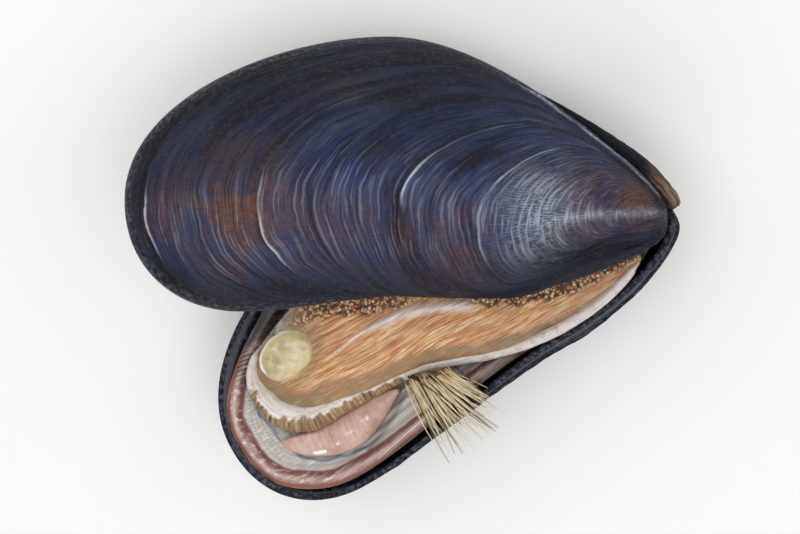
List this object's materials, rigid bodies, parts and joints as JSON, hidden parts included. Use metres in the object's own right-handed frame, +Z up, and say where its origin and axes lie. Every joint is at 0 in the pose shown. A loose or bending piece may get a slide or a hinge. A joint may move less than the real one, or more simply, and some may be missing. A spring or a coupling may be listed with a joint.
{
  "type": "mussel shell",
  "caption": "Blue mussel lying open: long ridged valves joined at the beak, with the orange soft body, cut muscle, foot and beard of threads in the lower valve",
  "frame": {"origin": "centre of the whole part's box in plan, at its lowest point, on the small flat under the lower valve", "axes": "+X runs along the upper valve toward the beaks, +Y toward the hinge side of the upper valve, +Z up"},
  "size_m": [0.0724, 0.0618, 0.0307],
  "materials": {
    "shell_upper": "satin blue-black shell with growth lines and rust-brown patches",
    "shell_lower": "satin blue-black shell, pearly blue-grey inside with a dark border",
    "ligament": "dull dark brown horn",
    "mantle_lining": "wet grey-white skin with a mauve rippled border",
    "mantle_flesh": "wet orange flesh with fine streaks and a cream rolled edge",
    "muscle": "moist pale yellow cut muscle",
    "foot_flesh": "wet pink flesh",
    "threads": "dry straw-brown horny threads"
  },
  "bodies": {
    "root": {"upper_valve": "shell_upper", "lower_valve": "shell_lower", "hinge_ligament": "ligament", "lower_mantle": "mantle_lining", "mantle": "mantle_flesh", "adductor_muscle": "muscle", "foot": "foot_flesh", "byssus": "threads"}
  },
  "joints": []
}
